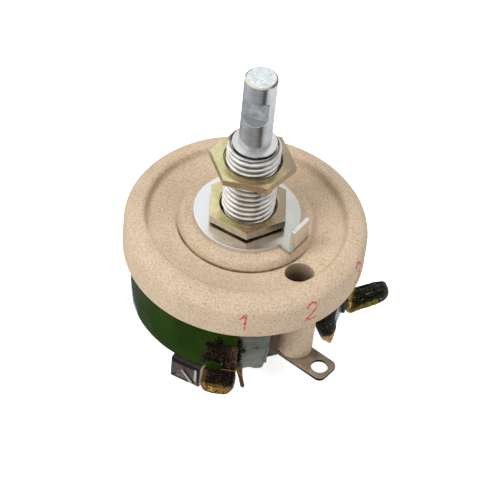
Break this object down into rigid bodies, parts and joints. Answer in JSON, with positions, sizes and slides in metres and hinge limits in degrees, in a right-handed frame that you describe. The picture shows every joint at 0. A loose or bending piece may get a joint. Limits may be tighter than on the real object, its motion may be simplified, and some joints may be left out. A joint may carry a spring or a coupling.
{
  "type": "wirewound rheostat",
  "caption": "Panel-mounted ceramic disc rheostat with a threaded bushing, turning shaft, enamelled winding, brush rotor and solder lugs.",
  "frame": {"origin": "on the shaft axis, in the plane of the seat nut's front face where the panel seats", "axes": "+Z along the shaft towards the knob end; the terminal post lies 48 degrees clockwise from +X, seen from the knob end"},
  "size_m": [0.0525, 0.0528, 0.0621],
  "materials": {
    "steatite": "matt, speckled, slightly rough",
    "zinc_plate": "bright zinc plate",
    "yellow_zinc": "yellow passivated zinc plate",
    "core_ceramic": "matt fired ceramic",
    "resistance_alloy": "oxidised wire with a bright rubbed track",
    "band_metal": "dull grey-green strip",
    "green_enamel": "glossy dark green vitreous enamel",
    "burnt_lug": "heat-browned lug under green glaze",
    "tinned_steel": "dull tinned steel",
    "rivet_brass": "dull brass",
    "shaft_steel": "bright turned steel",
    "hub_ceramic": "matt white steatite",
    "spring_bronze": "phosphor bronze",
    "holder_steel": "dark oxidised sheet",
    "graphite": "copper-graphite, matt"
  },
  "bodies": {
    "housing": {"ceramic_base": "steatite", "bushing": "zinc_plate", "locating_washer": "zinc_plate", "seat_nut": "yellow_zinc", "winding_core": "core_ceramic", "resistance_wire": "resistance_alloy", "end_band_finish": "band_metal", "end_band_start": "band_metal", "enamel_coat": "green_enamel", "end_bond": "green_enamel", "enamel_drip": "green_enamel", "end_lug_finish": "burnt_lug", "end_lug_start": "burnt_lug", "wire_tail": "burnt_lug", "centre_terminal": "tinned_steel", "terminal_rivet": "rivet_brass"},
    "rotor": {"shaft": "shaft_steel", "retaining_ring": "zinc_plate", "thrust_washer": "rivet_brass", "rotor_hub": "hub_ceramic", "hub_pin": "shaft_steel", "contact_arm": "tinned_steel", "collector_spring": "spring_bronze", "arm_rivets": "rivet_brass", "brush_holder": "holder_steel", "brush": "graphite", "brush_spring": "spring_bronze"},
    "nut": {"panel_nut": "yellow_zinc"}
  },
  "joints": [
    {"name": "shaft_turn", "type": "hinge", "parent": "housing", "child": "rotor", "pos_m": [0, 0, 0], "axis": [0, 0, 1], "range_deg": [-261, 31]},
    {"name": "nut_travel", "type": "slide", "parent": "housing", "child": "nut", "axis": [0, 0, 1], "range_m": [-0.0098, 0.0038]}
  ]
}
